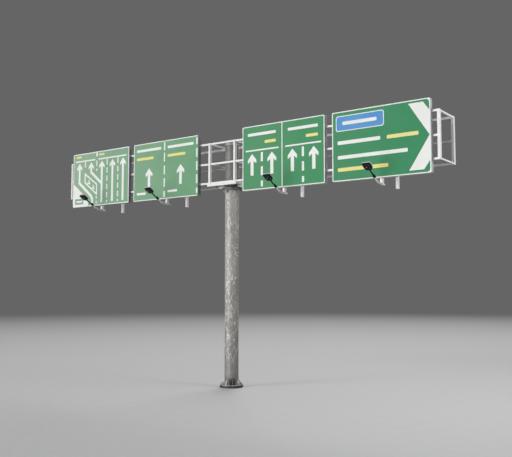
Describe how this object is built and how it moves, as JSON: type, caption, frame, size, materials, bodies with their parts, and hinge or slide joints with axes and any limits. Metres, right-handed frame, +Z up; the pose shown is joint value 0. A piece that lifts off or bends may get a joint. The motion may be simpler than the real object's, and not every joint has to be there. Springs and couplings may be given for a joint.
{
  "type": "overhead sign gantry",
  "caption": "Roadside overhead sign gantry: a flanged tubular column carries a box truss of square tubes with large sign panels and floodlights below them.",
  "frame": {"origin": "centre of the base flange's underside, on the column axis", "axes": "+X along the truss to the viewer's right, -Y the side the sign faces look to, +Z up the column"},
  "size_m": [14.896, 2.0981, 8.3354],
  "materials": {
    "galvanised_column": "weathered hot-dip galvanising, mottled",
    "truss_paint": "pale satin paint over galvanised steel",
    "galvanised_bracket": "bright galvanising",
    "sign_face": "green reflective sheeting on aluminium",
    "sign_frame": "mill-finish aluminium, dulled",
    "lamp_black": "black powder coat",
    "lamp_rim": "pale cast rim around a clear lens"
  },
  "bodies": {
    "root": {"base_flange": "galvanised_column", "base_gussets": "galvanised_column", "bottom_struts": "truss_paint", "column": "galvanised_column", "column_cap": "galvanised_column", "column_posts": "truss_paint", "column_top_flange": "galvanised_column", "end_posts": "truss_paint", "front_bottom_chord": "truss_paint", "front_middle_chord": "truss_paint", "front_top_chord": "truss_paint", "lamp_arm_1": "galvanised_bracket", "lamp_arm_2": "galvanised_bracket", "lamp_arm_3": "galvanised_bracket", "lamp_arm_4": "galvanised_bracket", "lamp_hangers": "galvanised_bracket", "lamp_head_1": "lamp_black", "lamp_head_2": "lamp_black", "lamp_head_3": "lamp_black", "lamp_head_4": "lamp_black", "lamp_lens_1": "lamp_rim", "lamp_lens_2": "lamp_rim", "lamp_lens_3": "lamp_rim", "lamp_lens_4": "lamp_rim", "lamp_stem_1": "lamp_black", "lamp_stem_2": "lamp_black", "lamp_stem_3": "lamp_black", "lamp_stem_4": "lamp_black", "middle_struts": "truss_paint", "rear_bottom_chord": "truss_paint", "rear_middle_chord": "truss_paint", "rear_top_chord": "truss_paint", "saddle": "truss_paint", "saddle_flange": "galvanised_column", "sign_frame_1": "sign_frame", "sign_frame_2": "sign_frame", "sign_frame_3": "sign_frame", "sign_frame_4": "sign_frame", "sign_tray_1": "sign_face", "sign_tray_2": "sign_face", "sign_tray_3": "sign_face", "sign_tray_4": "sign_face", "top_gussets": "galvanised_column", "top_struts": "truss_paint", "upper_column": "galvanised_column"}
  },
  "joints": []
}
